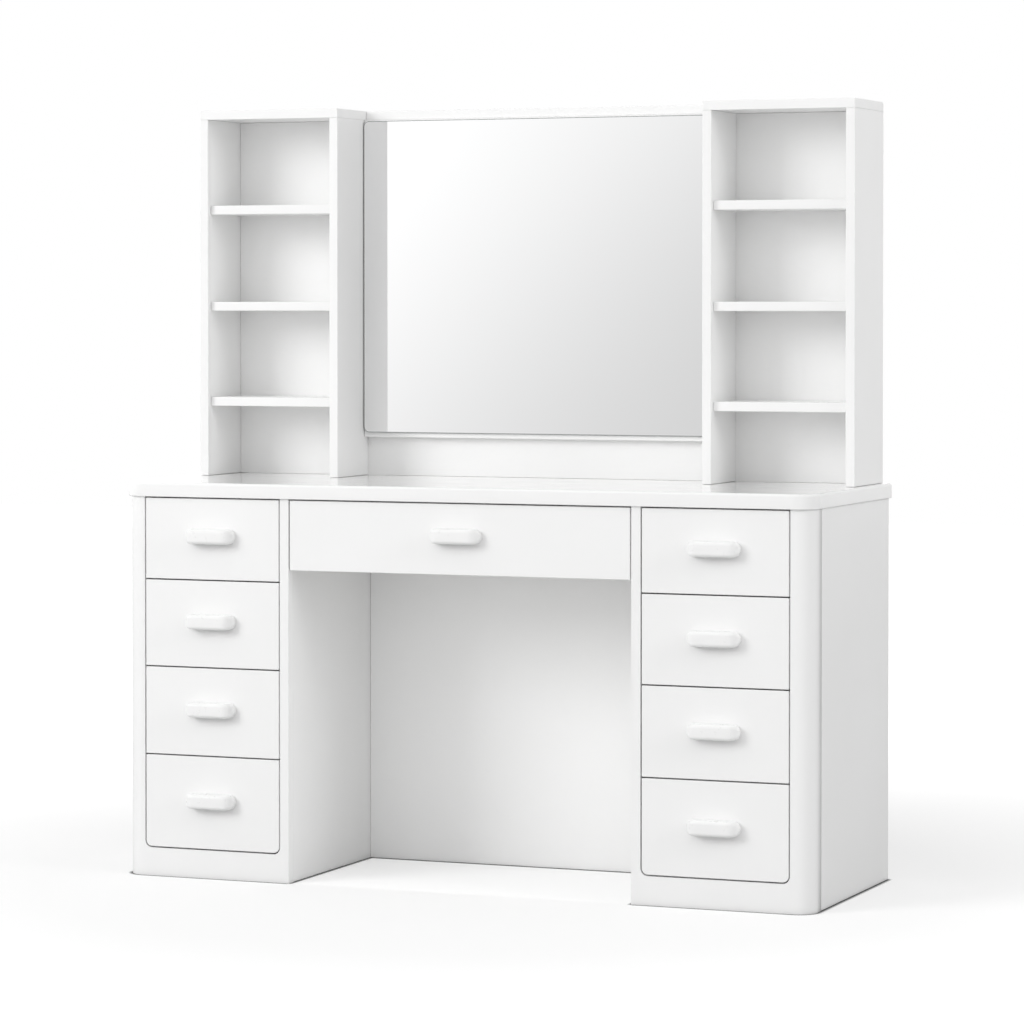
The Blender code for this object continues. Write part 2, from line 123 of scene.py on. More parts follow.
BOX_WALL = 0.012
BOX_FLOOR = 0.006
SLIDE_HEIGHT = 0.027
SLIDE_WALL = 0.0012
SLIDE_BEND = 0.003
SLIDE_BEND_STEPS = 4
SLIDE_REACH = 0.0085
SLIDE_SCREW_SETBACK = 0.035
SLIDE_ABOVE_FLOOR = 0.034   # middle of the slides above the box's underside

SCREW_RADIUS = 0.0036
SCREW_RISE = 0.0021
SCREW_SLOT = 0.0009
SCREW_SLOT_REACH = 0.55     # of a screw's radius
SCREW_SLOT_FLOOR = 0.35     # of its rise
NAIL_RADIUS = 0.0022
NAIL_RISE = 0.0006
NAIL_SPACING = 0.075
NAIL_INSET = 0.009
ROUND_STEPS = 24
DOME_STEPS = 5
DOME_SINK = 0.3             # of a head's rise, where it runs into the board

MIRROR_RADIUS = 0.011
MIRROR_EDGE = 0.0012

SIDES = ("left", "right")
PEDESTAL_DRAWERS = ("1", "2", "3", "4")


# ---------------------------------------------------------------- finishes
class Finish:
    """A Principled material with the short steps that build its node tree."""

    def __init__(self, name):
        self.material = bpy.data.materials.new(name)
        self.material.use_nodes = True
        self.tree = self.material.node_tree
        self.shader = self.tree.nodes["Principled BSDF"]
        self.place = self.add("ShaderNodeTexCoord").outputs["Object"]

    def add(self, kind, **settings):
        node = self.tree.nodes.new(kind)
        for key, value in settings.items():
            setattr(node, key, value)
        return node

    def feed(self, source, socket):
        self.tree.links.new(source, socket)

    def set(self, **values):
        """Set shader sockets, named with underscores for spaces."""
        for key, value in values.items():
            self.shader.inputs[key.replace("_", " ")].default_value = value

    def stretched(self, scale):
        """The object's own coordinates, stretched by a factor on each axis."""
        mapping = self.add("ShaderNodeMapping")
        mapping.inputs["Scale"].default_value = scale
        self.feed(self.place, mapping.inputs["Vector"])
        return mapping.outputs["Vector"]

    def noise(self, scale, detail=2.0, roughness=0.5, where=None):
        texture = self.add("ShaderNodeTexNoise")
        texture.inputs["Scale"].default_value = scale
        texture.inputs["Detail"].default_value = detail
        texture.inputs["Roughness"].default_value = roughness
        self.feed(where or self.place, texture.inputs["Vector"])
        return texture.outputs["Fac"]

    def spread(self, factor, low, high, start=0.3, end=0.7):
        """Map a factor between start and end to a value between low and high."""
        reach = self.add("ShaderNodeMapRange")
        for key, value in (("From Min", start), ("From Max", end), ("To Min", low), ("To Max", high)):
            reach.inputs[key].default_value = value
        self.feed(factor, reach.inputs["Value"])
        return reach.outputs["Result"]

    def math(self, operation, first, second):
        node = self.add("ShaderNodeMath", operation=operation)
        for socket, value in zip(node.inputs, (first, second)):
            if isinstance(value, float):
                socket.default_value = value
            else:
                self.feed(value, socket)
        return node.outputs["Value"]

    def blend(self, factor, first, second):
        """Mix two colours, each a triple or an output."""
        mix = self.add("ShaderNodeMix", data_type="RGBA")
        self.feed(factor, mix.inputs[0])
        for socket, value in ((mix.inputs[6], first), (mix.inputs[7], second)):
            if isinstance(value, tuple):
                socket.default_value = (*value, 1.0)
            else:
                self.feed(value, socket)
        return mix.outputs[2]

    def worn_and_highlit_edges(self, amount):
        """Where a piece's eased edges are painted paler, broken up by a fine noise: partly wear, partly a
        painted highlight.
        """
        marked = self.add("ShaderNodeAttribute", attribute_name="edge_wear_and_highlight").outputs["Fac"]
        patchy = self.spread(self.noise(60.0, 4.0), 0.2, amount, 0.35, 0.65)
        return self.math("MULTIPLY", marked, patchy)

    def colour(self, source):
        self.feed(source, self.shader.inputs["Base Color"])

    def roughness(self, source):
        self.feed(source, self.shader.inputs["Roughness"])

    def bump(self, *layers):
        """Stack bump layers, each a height output with its strength and distance."""
        below = None
        for height, strength, distance in layers:
            node = self.add("ShaderNodeBump")
            node.inputs["Strength"].default_value = strength
            node.inputs["Distance"].default_value = distance
            self.feed(height, node.inputs["Height"])
            if below:
                self.feed(below, node.inputs["Normal"])
            below = node.outputs["Normal"]
        self.feed(below, self.shader.inputs["Normal"])


def lacquer(name, pale, deep, smooth, rough, coat, peel):
    """Sprayed white lacquer: faint clouds, orange peel, and paler edges, partly wear and partly a painted
    highlight.
    """
    finish = Finish(name)
    clouds = finish.noise(3.2, 4.0)
    specks = finish.noise(240.0, 3.0)
    body = finish.blend(finish.spread(clouds, 0.0, 1.0), deep, pale)
    speckled = finish.blend(finish.spread(specks, 0.0, 0.35, 0.55, 0.75), body, deep)
    # eased edges painted paler: partly wear, partly a painted highlight
    rubbed_and_highlit = finish.worn_and_highlit_edges(0.8)
    worn_and_highlit = tuple(min(1.0, channel * 1.02) for channel in pale)
    finish.colour(finish.blend(rubbed_and_highlit, speckled, worn_and_highlit))
    finish.roughness(finish.spread(finish.noise(18.0, 3.0), smooth, rough))
    finish.bump((finish.noise(5.0, 1.0), 0.02, 0.002), (finish.noise(520.0, 2.0), peel, 0.0002))
    finish.set(Coat_Weight=coat, Coat_Roughness=smooth * 0.5, Specular_IOR_Level=0.45)
    return finish.material


def moulded(name):
    """Smooth moulded white of the handles, with the sheen of a tumbled surface and paler marked edges,
    partly wear and partly a painted highlight.
    """
    finish = Finish(name)
    pale = (0.90, 0.90, 0.897)
    deep = (0.890, 0.890, 0.888)
    clouds = finish.noise(38.0, 3.0)
    # marked edges painted paler: partly wear, partly a painted highlight
    rubbed_and_highlit = finish.worn_and_highlit_edges(0.9)
    body = finish.blend(finish.spread(clouds, 0.0, 1.0), deep, pale)
    finish.colour(finish.blend(rubbed_and_highlit, body, (0.92, 0.92, 0.915)))
    finish.roughness(finish.spread(finish.noise(120.0, 2.0), 0.27, 0.31))
    finish.bump((finish.noise(260.0, 1.0), 0.02, 0.0001))
    finish.set(Coat_Weight=0.25, Coat_Roughness=0.18, Sheen_Weight=0.05)
    return finish.material


def linen_board(name):
    """Melamine drawer board printed with a fine linen weave."""
    finish = Finish(name)
    threads = []
    for direction in ("X", "Y", "Z"):
        wave = finish.add("ShaderNodeTexWave", bands_direction=direction)
        wave.inputs["Scale"].default_value = 260.0
        wave.inputs["Distortion"].default_value = 1.6
        wave.inputs["Detail Scale"].default_value = 2.0
        finish.feed(finish.place, wave.inputs["Vector"])
        threads.append(wave.outputs["Fac"])
    weave = finish.math("MULTIPLY", finish.math("MAXIMUM", threads[0], threads[1]), threads[2])
    cloth = finish.blend(
        finish.spread(weave, 0.0, 1.0, 0.0, 1.0), (0.74, 0.735, 0.715), (0.82, 0.815, 0.80)
    )
    patchy = finish.spread(finish.noise(9.0, 4.0), 0.0, 0.3)
    finish.colour(finish.blend(patchy, cloth, (0.78, 0.775, 0.75)))
    finish.roughness(finish.spread(finish.noise(70.0, 3.0), 0.48, 0.62))
    finish.bump((weave, 0.12, 0.0002))
    return finish.material


def hardboard(name):
    """Thin painted hardboard, whose fibres show through the paint."""
    finish = Finish(name)
    fibres = finish.noise(90.0, 6.0, 0.65, finish.stretched((1.0, 1.0, 3.5)))
    clouds = finish.noise(4.0, 3.0)
    body = finish.blend(finish.spread(clouds, 0.0, 1.0), (0.885, 0.885, 0.882), (0.91, 0.91, 0.907))
    finish.colour(finish.blend(finish.spread(fibres, 0.0, 0.35, 0.5, 0.75), body, (0.87, 0.87, 0.865)))
    finish.roughness(finish.spread(fibres, 0.42, 0.56))
    finish.bump((fibres, 0.12, 0.0003))
    return finish.material


def zinc_steel(name):
    """Pressed steel with a zinc spangle, the drawing marks that run along a slide, and paler marked edges,
    partly wear and partly a painted highlight.
    """
    finish = Finish(name)
    drawn = finish.noise(60.0, 5.0, 0.7, finish.stretched((12.0, 0.6, 12.0)))
    spangle = finish.add("ShaderNodeTexVoronoi")
    spangle.inputs["Scale"].default_value = 140.0
    finish.feed(finish.place, spangle.inputs["Vector"])
    flakes = finish.spread(spangle.outputs["Distance"], 0.0, 1.0, 0.1, 0.7)
    body = finish.blend(flakes, (0.56, 0.57, 0.59), (0.68, 0.69, 0.71))
    # marked edges painted paler: partly wear, partly a painted highlight
    finish.colour(finish.blend(finish.worn_and_highlit_edges(0.7), body, (0.78, 0.78, 0.78)))
    finish.roughness(finish.spread(drawn, 0.26, 0.46))
    finish.bump((drawn, 0.15, 0.0002))
    finish.set(Metallic=1.0)
    return finish.material


def silvered_glass(name):
    """Mirror silver, with the faintest change of tone over the sheet."""
    finish = Finish(name)
    clouds = finish.spread(finish.noise(1.6, 1.0), 0.0, 1.0)
    finish.colour(finish.blend(clouds, (0.928, 0.929, 0.931), (0.942, 0.943, 0.945)))
    finish.roughness(finish.spread(finish.noise(7.0, 2.0), 0.004, 0.012))
    finish.set(Metallic=1.0)
    return finish.material


def glass_edge_and_painted_shade(name):
    """Ground and polished edge of the mirror sheet, coloured a dark green-grey: partly the glass's own
    tone, partly painted shade for the dark outline round the mirror.
    """
    finish = Finish(name)
    ground = finish.noise(300.0, 3.0)
    # dark colour: partly the glass edge's own tone, partly painted shade for the outline
    finish.colour(finish.blend(finish.spread(ground, 0.0, 1.0), (0.19, 0.205, 0.20), (0.27, 0.285, 0.28)))
    finish.roughness(finish.spread(ground, 0.12, 0.3))
    finish.bump((ground, 0.1, 0.0001))
    return finish.material


SATIN = lacquer(
    "satin_lacquer", pale=(0.915, 0.915, 0.913), deep=(0.895, 0.895, 0.892),
    smooth=0.30, rough=0.38, coat=0.10, peel=0.04,
)
GLOSS = lacquer(
    "gloss_lacquer", pale=(0.92, 0.92, 0.918), deep=(0.905, 0.905, 0.902),
    smooth=0.10, rough=0.16, coat=0.60, peel=0.01,
)
HANDLE = moulded("moulded_white")
LINEN = linen_board("linen_melamine")
HARDBOARD = hardboard("painted_hardboard")
STEEL = zinc_steel("zinc_plated_steel")
SILVER = silvered_glass("mirror_silver")
GLASS_EDGE_AND_PAINTED_SHADE = glass_edge_and_painted_shade("mirror_edge_and_painted_shade")


# ---------------------------------------------------------------- mesh helpers
def box_mesh(low, high):
    """A box between two corners as a bmesh with a layer that marks edges to be painted paler, for wear and
    a painted highlight.
    """
    low, high = Vector(low), Vector(high)
    mesh = bmesh.new()
    mesh.faces.layers.float.new("edge_wear_and_highlight")
    bmesh.ops.create_cube(mesh, size=1.0)
    bmesh.ops.scale(mesh, vec=high - low, verts=mesh.verts)
    bmesh.ops.translate(mesh, vec=(low + high) / 2, verts=mesh.verts)
    return mesh


def heading(edge):
    """The unit direction of an edge, all its signs dropped."""
    way = (edge.verts[1].co - edge.verts[0].co).normalized()
    return Vector([abs(part) for part in way])


def middle_of(edge):
    return (edge.verts[0].co + edge.verts[1].co) / 2


def runs_up(edge):
    return heading(edge).z > ALONG


def runs_back(edge):
    return heading(edge).y > ALONG


def runs_level(edge):
    return heading(edge).z < ACROSS


def round_off(mesh, chosen, radius, steps):
    """Round the edges for which chosen(edge) is true."""
    edges = [edge for edge in mesh.edges if chosen(edge)]
    bmesh.ops.bevel(mesh, geom=edges, offset=radius, segments=steps, profile=0.5, affect="EDGES")


def ease(mesh, width, steps=EASE_STEPS, chosen=lambda edge: True):
    """Ease the sharp edges and mark the eased strips, which the finishes paint paler for wear and a painted
    highlight.
    """
    worn_and_highlit = mesh.faces.layers.float.get("edge_wear_and_highlight") or mesh.faces.layers.float.new("edge_wear_and_highlight")
    edges = []
    for edge in mesh.edges:
        if edge.is_manifold and edge.calc_face_angle() > SHARP and chosen(edge):
            edges.append(edge)
    made = bmesh.ops.bevel(
        mesh, geom=edges, offset=width, segments=steps, profile=0.5, affect="EDGES", clamp_overlap=True
    )
    for face in made["faces"]:
        face[worn_and_highlit] = 1.0
    return mesh


def plain_object(name, mesh_data):
    """An object from a bmesh, with smooth shading."""
    mesh = bpy.data.meshes.new(name)
    mesh_data.to_mesh(mesh)
    mesh_data.free()
    mesh.shade_smooth()
    item = bpy.data.objects.new(name, mesh)
    bpy.context.scene.collection.objects.link(item)
    return item


def cut_away(mesh_data, *tools):
    """Cut closed shapes out of a bmesh, and return what is left as a new one."""
    body = plain_object("being_cut", mesh_data)
    shapes = [plain_object("cutting_shape", tool) for tool in tools]
    for shape in shapes:
        boolean = body.modifiers.new("cut", "BOOLEAN")
        boolean.operation = "DIFFERENCE"
        boolean.solver = "EXACT"
        boolean.object = shape
    evaluated = body.evaluated_get(bpy.context.evaluated_depsgraph_get())
    left = bmesh.new()
    left.from_mesh(evaluated.to_mesh())
    evaluated.to_mesh_clear()
    for item in (body, *shapes):
        bpy.data.objects.remove(item, do_unlink=True)
    bmesh.ops.remove_doubles(left, verts=left.verts, dist=WELD)
    return left


def dress(item, material, body, replaced=()):
    """Finish an object in place: material, even normals, body, and the nodes it stands for."""
    if not item.data.materials:
        item.data.materials.append(material)
    normals = item.modifiers.new("weighted_normals", "WEIGHTED_NORMAL")
    normals.keep_sharp = True
    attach(item, body)
    if replaced:
        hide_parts(*replaced)
    return item


def piece(name, mesh_data, material, body, replaced=()):
    return dress(plain_object(name, mesh_data), material, body, replaced)


# ---------------------------------------------------------------- boards of the case and the hutch
def board(node, material=SATIN, edge=EDGE, fine=None, fine_edge=SEAM_EDGE):
    """A finely eased board in place of a CAD board; edges that fine(edge) picks stay nearly sharp."""
    mesh_data = box_mesh(*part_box(node))
    if fine:
        ease(mesh_data, edge, chosen=lambda each: not fine(each))
        ease(mesh_data, fine_edge, SMALL_EASE_STEPS, chosen=fine)
    else:
        ease(mesh_data, edge)
    return piece("fine_" + node, mesh_data, material, "root", (node,))


def make_desktop():
    low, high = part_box("desktop")
    mesh_data = box_mesh(low, high)
    round_off(mesh_data, lambda edge: runs_up(edge) and middle_of(edge).y < 0, DESKTOP_CORNER, CORNER_STEPS)
    top = high.z - GAP
    round_off(
        mesh_data, lambda edge: runs_level(edge) and middle_of(edge).z > top,
        DESKTOP_ROUND, DESKTOP_ROUND_STEPS,
    )
    ease(mesh_data, EDGE)
    piece("fine_desktop", mesh_data, GLOSS, "root", ("desktop",))


def opening_mesh(side, depth_low, depth_high):
    """The drawer opening of a pedestal's front frame, as a cutting shape with rounded lower corners."""
    front_low, front_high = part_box(side + "_drawer_4_front")
    low = (front_low.x - FRONT_GAP, depth_low, front_low.z - FRONT_GAP)
    high = (front_high.x + FRONT_GAP, depth_high, CAD_HIGH.z)
    mesh_data = box_mesh(low, high)
    floor = low[2] + GAP
    round_off(
        mesh_data, lambda edge: runs_back(edge) and middle_of(edge).z < floor, OPENING_FILLET, FILLET_STEPS
    )
    return mesh_data, low, high


def make_front_frame(side):
    """Corner post, inner stile and bottom rail in one, with the large rounded corner."""
    node = side + "_front_frame"
    sign = 1 if side == "right" else -1
    low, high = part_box(node)
    mesh_data = box_mesh(low, high)
    outer = high.x if sign > 0 else low.x
    round_off(
        mesh_data,
        lambda edge: (
            runs_up(edge) and abs(middle_of(edge).x - outer) < GAP and middle_of(edge).y < low.y + GAP
        ),
        CORNER_RADIUS, CORNER_STEPS,
    )
    opening, opening_low, opening_high = opening_mesh(side, low.y - CUT_MARGIN, high.y + CUT_MARGIN)
    post_face = opening_high[0] if sign > 0 else opening_low[0]
    stile_face = (low.x if sign > 0 else high.x) - sign * CUT_MARGIN
    recess = box_mesh(
        (min(post_face, stile_face), low.y + FRAME_THICKNESS, low.z - CUT_MARGIN),
        (max(post_face, stile_face), high.y + CUT_MARGIN, high.z + CUT_MARGIN),
    )
    cut = cut_away(mesh_data, opening, recess)
    seam = high.y - GAP
    ease(cut, FRAME_EDGE, chosen=lambda edge: middle_of(edge).y < seam)
    piece("fine_" + node, cut, SATIN, "root", (node,))


def make_tower_top(side):
    node = side + "_tower_top"
    low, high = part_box(node)
    mesh_data = box_mesh(low, high)
    top, rear = high.z - GAP, high.y - GAP
    round_off(
        mesh_data, lambda edge: middle_of(edge).z > top and middle_of(edge).y > rear,
        TOWER_TOP_ROUND, FILLET_STEPS,
    )
    under = low.z + GAP
    ease(mesh_data, EDGE, chosen=lambda edge: middle_of(edge).z > under)
    ease(mesh_data, SEAM_EDGE, SMALL_EASE_STEPS, chosen=lambda edge: middle_of(edge).z < under)
    piece("fine_" + node, mesh_data, SATIN, "root", (node,))


def make_case():
    make_desktop()
    for side in SIDES:
        make_front_frame(side)
        seam_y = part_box(side + "_outer_side")[0].y + GAP
        board(side + "_outer_side", fine=lambda edge, at=seam_y: middle_of(edge).y < at)
        inner_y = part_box(side + "_inner_side")[0].y + GAP
        board(side + "_inner_side", fine=lambda edge, at=inner_y: middle_of(edge).y < at)
        board(side + "_back_panel", HARDBOARD, THIN_EDGE)
        kept_node(side + "_base_panel", SATIN)
        kept_node(side + "_inner_runners", STEEL)
        kept_node(side + "_outer_runners", STEEL)
    board("kneehole_back_panel")
    kept_node("centre_runner_frame", STEEL)


def make_hutch():
    for side in SIDES:
        make_tower_top(side)
        for panel in ("outer_side", "inner_side"):
            node = side + "_tower_" + panel
            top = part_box(node)[1].z - GAP
            board(node, fine=lambda edge, at=top: middle_of(edge).z > at)
        for number in range(1, 4):
            board("{}_tower_shelf_{}".format(side, number))
    board("hutch_back_panel", HARDBOARD, THIN_EDGE)
    board("mirror_bay_top")
    board("mirror_board", edge=MIRROR_BOARD_EDGE)
    make_mirror()


def kept_node(node, material):
    """A CAD node that is shown as it is, with a finish of its own."""
    item = frame["nodes"][node]
    item.data.materials.clear()
    item.data.materials.append(material)


def make_mirror():
    """The sheet of the mirror: a silvered face, and a ground edge all round it, coloured dark partly as
    painted shade for its outline.
    """
    low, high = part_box("mirror_glass")
    mesh_data = box_mesh(low, high)
    round_off(mesh_data, runs_back, MIRROR_RADIUS, FILLET_STEPS)
    ease(mesh_data, MIRROR_EDGE, SMALL_EASE_STEPS)
    for face in mesh_data.faces:
        face.material_index = 0 if face.normal.y < -FACING else 1
    item = plain_object("silvered_mirror", mesh_data)
    item.data.materials.append(SILVER)
    item.data.materials.append(GLASS_EDGE_AND_PAINTED_SHADE)
    dress(item, SILVER, "root", ("mirror_glass",))


# ---------------------------------------------------------------- screws and nails
def turned_mesh(profile):
    """A solid of revolution about +Z, from (radius, height) points that start and end on the axis."""
    mesh_data = bmesh.new()
    mesh_data.faces.layers.float.new("edge_wear_and_highlight")
    verts = [mesh_data.verts.new((radius, 0.0, height)) for radius, height in profile]
    edges = [mesh_data.edges.new(pair) for pair in zip(verts, verts[1:])]
    bmesh.ops.spin(
        mesh_data, geom=verts + edges, cent=(0, 0, 0), axis=(0, 0, 1), dvec=(0, 0, 0),
        angle=math.radians(360), steps=ROUND_STEPS, use_merge=True,
    )
    bmesh.ops.remove_doubles(mesh_data, verts=mesh_data.verts, dist=WELD)
    bmesh.ops.recalc_face_normals(mesh_data, faces=mesh_data.faces)
    return mesh_data


def dome_mesh(radius, rise):
    """A low domed head, sunk a little way at its middle underneath."""
    profile = []
    for step in range(DOME_STEPS + 1):
        angle = math.radians(90) * step / DOME_STEPS
        profile.append((radius * math.sin(angle), rise * math.cos(angle)))
    return turned_mesh(profile + [(0.0, -rise * DOME_SINK)])


def screw_mesh():
    """A pan head with a cross recess."""
    head = dome_mesh(SCREW_RADIUS, SCREW_RISE)
    arms = []
    for long_axis in (0, 1):
        half = [SCREW_SLOT / 2, SCREW_SLOT / 2]
        half[long_axis] = SCREW_RADIUS * SCREW_SLOT_REACH
        floor = SCREW_RISE * SCREW_SLOT_FLOOR
        arms.append(box_mesh((-half[0], -half[1], floor), (half[0], half[1], SCREW_RISE * 2)))
    return cut_away(head, *arms)


def shared_mesh(name, mesh_data, material):
    mesh = bpy.data.meshes.new(name)
    mesh_data.to_mesh(mesh)
    mesh_data.free()
    mesh.shade_smooth()
    mesh.set_sharp_from_angle(angle=SHARP)
    mesh.materials.append(material)
    return mesh


SCREW = shared_mesh("pan_head_screw", screw_mesh(), STEEL)


def joined(shapes):
    """One bmesh from several, which are used up."""
    whole = shapes[0]
    for shape in shapes[1:]:
        carrier = bpy.data.meshes.new("carrier")
        shape.to_mesh(carrier)
        shape.free()
        whole.from_mesh(carrier)
        bpy.data.meshes.remove(carrier)
    return whole


def set_fixing(name, mesh, point, way, body):
    """Place a shared head at a point, facing along way."""
    item = bpy.data.objects.new(name, mesh)
    bpy.context.scene.collection.objects.link(item)
    turn = Vector((0, 0, 1)).rotation_difference(Vector(way)).to_matrix().to_4x4()
    item.matrix_world = Matrix.Translation(Vector(point)) @ turn
    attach(item, body)
    return item


def nail_row(node):
    """Nail heads round the border of a rear panel, joined in one piece."""
    low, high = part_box(node)
    across = max(2, round((high.x - low.x) / NAIL_SPACING))
    up = max(2, round((high.z - low.z) / NAIL_SPACING))
    places = []
    for step in range(across + 1):
        x = low.x + NAIL_INSET + (high.x - low.x - 2 * NAIL_INSET) * step / across
        places += [(x, low.z + NAIL_INSET), (x, high.z - NAIL_INSET)]
    for step in range(1, up):
        z = low.z + NAIL_INSET + (high.z - low.z - 2 * NAIL_INSET) * step / up
        places += [(low.x + NAIL_INSET, z), (high.x - NAIL_INSET, z)]
    turn = Matrix.Rotation(math.radians(-90), 4, "X")
    heads = []
    for x, z in places:
        head = dome_mesh(NAIL_RADIUS, NAIL_RISE)
        place = Matrix.Translation((x, high.y, z)) @ turn
        bmesh.ops.transform(head, matrix=place, verts=head.verts)
        heads.append(head)
    piece(node + "_nails", joined(heads), STEEL, "root")


# ---------------------------------------------------------------- drawers
def make_front(name, is_bottom):
    low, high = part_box(name + "_front")
    mesh_data = box_mesh(low, high)
    if is_bottom:
        floor = low.z + GAP
        round_off(
            mesh_data, lambda edge: runs_back(edge) and middle_of(edge).z < floor,
            OPENING_FILLET - FRONT_GAP, FILLET_STEPS,
        )
    ease(mesh_data, EDGE)
    piece(name + "_fine_front", mesh_data, SATIN, name, (name + "_front",))


def make_box(name):
    """Four boards and a bottom, where the CAD box is one solid."""
    node = name + "_box"
    low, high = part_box(node)
    inner_low = low + Vector((BOX_WALL, BOX_WALL, 0))
    inner_high = high - Vector((BOX_WALL, BOX_WALL, 0))
    boards = {
        "left_board": ((low.x, low.y, low.z), (inner_low.x, high.y, high.z)),
        "right_board": ((inner_high.x, low.y, low.z), (high.x, high.y, high.z)),
        "front_board": ((inner_low.x + GAP, low.y, low.z), (inner_high.x - GAP, inner_low.y, high.z)),
        "rear_board": ((inner_low.x + GAP, inner_high.y, low.z), (inner_high.x - GAP, high.y, high.z)),
    }
    for label, (first, second) in boards.items():
        mesh_data = ease(box_mesh(first, second), THIN_EDGE)
        replaced = (node,) if label == "left_board" else ()
        piece(name + "_" + label, mesh_data, LINEN, name, replaced)
    mesh_data = box_mesh(
        (inner_low.x + GAP, inner_low.y + GAP, low.z + GAP),
        (inner_high.x - GAP, inner_high.y - GAP, low.z + BOX_FLOOR),
    )
    piece(name + "_bottom", ease(mesh_data, THIN_EDGE / 2, SMALL_EASE_STEPS), LINEN, name)


def taper_ends(mesh_data, low, high):
    """Draw the two ends of a tab in to rounded corners, as seen from the front."""
    centre = (low + high) / 2
    half_length = (high.x - low.x) / 2
    half_height = (high.z - low.z) / 2
    start = half_length - HANDLE_END_RADIUS
    for sign in (-1, 1):
        for step in range(HANDLE_END_STEPS):
            reach = start + HANDLE_END_RADIUS * math.sin(math.radians(90) * step / HANDLE_END_STEPS)
            everything = list(mesh_data.verts) + list(mesh_data.edges) + list(mesh_data.faces)
            bmesh.ops.bisect_plane(
                mesh_data, geom=everything, plane_co=(centre.x + sign * reach, 0, 0), plane_no=(1, 0, 0)
            )
    bmesh.ops.remove_doubles(mesh_data, verts=mesh_data.verts, dist=GAP)
    for vert in mesh_data.verts:
        past = max(0.0, abs(vert.co.x - centre.x) - start)
        drop = HANDLE_END_RADIUS - math.sqrt(max(0.0, HANDLE_END_RADIUS ** 2 - past ** 2))
        vert.co.z = centre.z + (vert.co.z - centre.z) * (1 - drop / half_height)


def make_handle_posts(name):
    """The two bosses inside a handle, and the screws that come through the drawer into them."""
    low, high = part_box(name + "_handle")
    centre = (low + high) / 2
    length = high.y - low.y - HANDLE_SHELL
    inner_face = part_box(name + "_box")[0].y + BOX_WALL
    forward = Matrix.Rotation(math.radians(90), 4, "X")
    posts = []
    for label, sign in (("left", -1), ("right", 1)):
        x = centre.x + sign * POST_SPACING / 2
        post = turned_mesh([(0.0, length), (POST_RADIUS, length), (POST_ROOT_RADIUS, 0.0), (0.0, 0.0)])
        place = Matrix.Translation((x, high.y, centre.z)) @ forward
        bmesh.ops.transform(post, matrix=place, verts=post.verts)
        posts.append(post)
        screw = "{}_{}_handle_screw".format(name, label)
        set_fixing(screw, SCREW, (x, inner_face, centre.z), (0, 1, 0), name)
    bosses = ease(joined(posts), SEAM_EDGE, SMALL_EASE_STEPS)
    piece(name + "_handle_posts", bosses, HANDLE, name)


def make_handle(name):
    """A moulded tab, hollow from below."""
    low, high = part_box(name + "_handle")
    depth = high.y - low.y
    mesh_data = box_mesh(low, (high.x, high.y + depth, high.z))
    round_off(mesh_data, runs_up, HANDLE_PLAN_RADIUS, HANDLE_PLAN_STEPS)
    round_off(mesh_data, runs_level, HANDLE_EDGE_RADIUS, HANDLE_EDGE_STEPS)
    everything = list(mesh_data.verts) + list(mesh_data.edges) + list(mesh_data.faces)
    bmesh.ops.bisect_plane(
        mesh_data, geom=everything, plane_co=(0, high.y, 0), plane_no=(0, 1, 0), clear_outer=True
    )
    floor = low.z + GAP / 10
    under = [face for face in mesh_data.faces if face.calc_center_median().z < floor]
    bmesh.ops.delete(mesh_data, geom=under, context="FACES")
    taper_ends(mesh_data, low, high)
    item = plain_object(name + "_fine_handle", mesh_data)
    shell = item.modifiers.new("shell", "SOLIDIFY")
    shell.thickness = HANDLE_SHELL
    shell.offset = -1.0
    lip = item.modifiers.new("eased_lip", "BEVEL")
    lip.width = HANDLE_LIP
    lip.segments = SMALL_EASE_STEPS
    lip.limit_method = "ANGLE"
    lip.angle_limit = HANDLE_LIP_ANGLE
    dress(item, HANDLE, name, (name + "_handle",))


def slide_mesh(face, outward, front, back, middle_z):
    """Half of a drawer slide: a channel with rounded bends, drawn along Y."""
    half = SLIDE_HEIGHT / 2
    profile = [(SLIDE_REACH, half)]
    for turn_at, start in ((half - SLIDE_BEND, 90), (-half + SLIDE_BEND, 180)):
        for step in range(SLIDE_BEND_STEPS + 1):
            angle = math.radians(start + 90 * step / SLIDE_BEND_STEPS)
            profile.append((
                SLIDE_BEND + SLIDE_BEND * math.cos(angle),
                turn_at + SLIDE_BEND * math.sin(angle),
            ))
    profile.append((SLIDE_REACH, -half))
    mesh_data = bmesh.new()
    mesh_data.faces.layers.float.new("edge_wear_and_highlight")
    rows = []
    for y in (front, back):
        rows.append([
            mesh_data.verts.new((face + outward * reach, y, middle_z + rise)) for reach, rise in profile
        ])
    for first, second, third, fourth in zip(rows[0], rows[0][1:], rows[1][1:], rows[1]):
        mesh_data.faces.new((first, second, third, fourth))
    bmesh.ops.recalc_face_normals(mesh_data, faces=mesh_data.faces)
    return mesh_data


def make_slides(name):
    """The two slide halves on a drawer's sides, each held by screws."""
    low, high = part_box(name + "_box")
    middle_z = low.z + SLIDE_ABOVE_FLOOR
    for label, face, outward in (("left", low.x, -1), ("right", high.x, 1)):
        mesh_data = slide_mesh(face + outward * GAP, outward, low.y + GAP, high.y - GAP, middle_z)
        item = plain_object("{}_{}_slide".format(name, label), mesh_data)
        wall = item.modifiers.new("wall", "SOLIDIFY")
        wall.thickness = SLIDE_WALL
        wall.offset = 0.0
        dress(item, STEEL, name)
        for number, y in enumerate((low.y + SLIDE_SCREW_SETBACK, high.y - SLIDE_SCREW_SETBACK), 1):
            point = (face + outward * (GAP + SLIDE_WALL), y, middle_z)
            screw = "{}_{}_slide_screw_{}".format(name, label, number)
            set_fixing(screw, SCREW, point, (outward, 0, 0), name)


def make_drawers():
    names = [side + "_drawer_" + number for side in SIDES for number in PEDESTAL_DRAWERS]
    for name in names + ["centre_drawer"]:
        make_front(name, name.endswith(PEDESTAL_DRAWERS[-1]))
        make_box(name)
        make_handle(name)
        make_handle_posts(name)
        make_slides(name)


